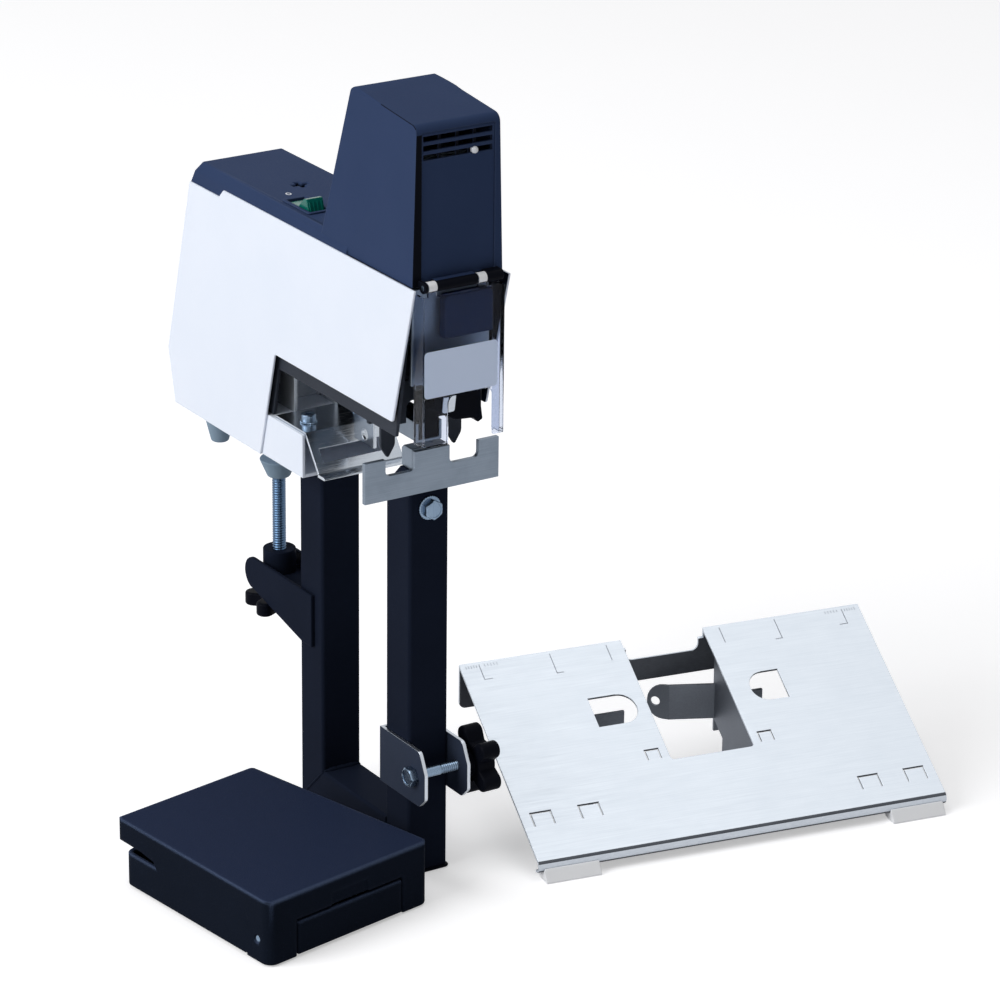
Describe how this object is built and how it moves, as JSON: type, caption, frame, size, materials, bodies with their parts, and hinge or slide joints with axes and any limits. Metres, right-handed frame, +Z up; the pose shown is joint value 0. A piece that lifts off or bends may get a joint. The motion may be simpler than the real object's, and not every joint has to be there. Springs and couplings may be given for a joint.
{
  "type": "electric_saddle_stapler",
  "caption": "Electric saddle stapler on a black square tube frame with white side covers, dark moulded drive tower, hinged clear guard, foot pedal and sloping steel saddle table",
  "frame": {"origin": "the middle of the front post's foot, on the floor", "axes": "X across the machine to the saddle table's side, Y from the front to the rear, Z up"},
  "size_m": [0.4695, 0.3313, 0.4481],
  "materials": {
    "black_steel": "satin black powder coat",
    "white_sheet": "satin white powder coat",
    "dark_plate": "dark phosphate steel",
    "dark_abs": "fine grained moulding",
    "black_abs": "fine grained moulding",
    "pedal_abs": "leather grained moulding",
    "white_plastic": "moulded",
    "clear_plastic": "clear, polished",
    "green_plastic": "translucent green",
    "lamp_plastic": "milky",
    "winding": "taped copper winding",
    "satin_steel": "ground",
    "bright_steel": "brushed stainless",
    "zinc_steel": "zinc plated",
    "grey_rubber": "moulded"
  },
  "bodies": {
    "frame": {"front_post": "black_steel", "rear_post": "black_steel", "bottom_beam": "black_steel", "post_end_caps": "black_abs", "guide_plate": "satin_steel", "anvil": "satin_steel", "anvil_bolt": "zinc_steel", "base_channel": "white_sheet", "rubber_feet": "grey_rubber", "side_cover_left": "white_sheet", "side_cover_right": "white_sheet", "rear_panel": "white_sheet", "power_inlet": "black_abs", "pedal_socket": "black_abs", "head_plate_left": "dark_plate", "head_plate_right": "dark_plate", "front_plate": "satin_steel", "front_block": "black_abs", "tine_plate": "dark_plate", "driver_guide": "dark_plate", "magazine_guide": "dark_plate", "head_support": "bright_steel", "solenoid_yoke": "satin_steel", "solenoid_coil": "winding", "return_spring": "zinc_steel", "top_cover": "dark_abs", "front_panel": "dark_abs", "indicator_lamp": "lamp_plastic", "switch_housing": "black_abs", "power_adjuster": "black_abs", "guard_pin": "zinc_steel", "stop_screws": "zinc_steel", "clamp_arm": "black_steel"},
    "rocker": {"power_rocker": "green_plastic"},
    "guard": {"safety_guard": "clear_plastic"},
    "driver": {"plunger": "zinc_steel", "driver_blade": "bright_steel"},
    "magazine": {"magazine_rail": "satin_steel", "staple_strip": "zinc_steel", "magazine_nose": "black_abs", "latch_tab": "bright_steel", "staple_pusher": "bright_steel"},
    "pad": {"clamp_pad": "grey_rubber"},
    "screw": {"clamp_screw": "zinc_steel", "clamp_knob": "black_abs"},
    "collar": {"post_bracket": "black_steel", "bracket_bolt": "zinc_steel"},
    "washer": {"knob_washer": "zinc_steel"},
    "knob": {"star_knob": "black_abs"},
    "stop": {"paper_stop": "bright_steel"},
    "pedal": {"pedal_base": "pedal_abs", "pedal_feet": "grey_rubber", "pedal_pin": "zinc_steel", "pedal_switch": "black_abs", "pedal_spring": "zinc_steel"},
    "treadle": {"pedal_treadle": "pedal_abs"},
    "table": {"table_plate": "bright_steel", "table_bracket": "satin_steel", "table_blocks": "white_plastic"}
  },
  "joints": [
    {"name": "power_switch", "type": "hinge", "parent": "frame", "child": "rocker", "pos_m": [-0.0164, 0.089, 0.359], "axis": [1, 0, 0], "range_deg": [0, 20]},
    {"name": "guard_hinge", "type": "hinge", "parent": "frame", "child": "guard", "pos_m": [0, -0.044, 0.3555], "axis": [-1, 0, 0], "range_deg": [0, 85]},
    {"name": "driver_stroke", "type": "slide", "parent": "frame", "child": "driver", "axis": [0, 0, 1], "range_m": [-0.0105, 0], "stiffness_N_per_m": 800, "springref_m": 0.006, "deforming": ["return_spring"]},
    {"name": "magazine_slide", "type": "slide", "parent": "frame", "child": "magazine", "axis": [0, -1, 0], "range_m": [0, 0.03]},
    {"name": "clamp_travel", "type": "slide", "parent": "frame", "child": "pad", "axis": [0, 0, -1], "range_m": [0, 0.03]},
    {"name": "clamp_turn", "type": "hinge", "parent": "pad", "child": "screw", "pos_m": [0, 0.1515, 0.12], "axis": [0, 0, -1], "range_deg": [0, 7200]},
    {"name": "bracket_slide", "type": "slide", "parent": "frame", "child": "collar", "axis": [0, 0, 1], "range_m": [-0.02, 0.11]},
    {"name": "knob_travel", "type": "slide", "parent": "collar", "child": "washer", "axis": [1, 0, 0], "range_m": [0, 0.004]},
    {"name": "knob_turn", "type": "hinge", "parent": "washer", "child": "knob", "pos_m": [0.024, -0.021, 0.065], "axis": [1, 0, 0], "range_deg": [0, 1440]},
    {"name": "stop_slide", "type": "slide", "parent": "frame", "child": "stop", "axis": [0, -1, 0], "range_m": [0, 0.004]},
    {"name": "pedal_lift", "type": "slide", "parent": "frame", "child": "pedal", "axis": [0, 0, 1], "range_m": [0, 0.15]},
    {"name": "pedal_press", "type": "hinge", "parent": "pedal", "child": "treadle", "pos_m": [-0.07984, -0.04922, 0.014], "axis": [-0.9799, -0.1994, 0], "range_deg": [0, 1.5], "stiffness_Nm_per_rad": 25, "springref_deg": -1.72, "deforming": ["pedal_spring"]},
    {"name": "table_lift", "type": "slide", "parent": "frame", "child": "table", "axis": [0, 0, 1], "range_m": [0, 0.15]}
  ],
  "couplings": [
    {"joint": "clamp_turn", "follows": "clamp_travel", "rad_per_m": 4188.8},
    {"joint": "knob_turn", "follows": "knob_travel", "rad_per_m": 6283.2}
  ]
}
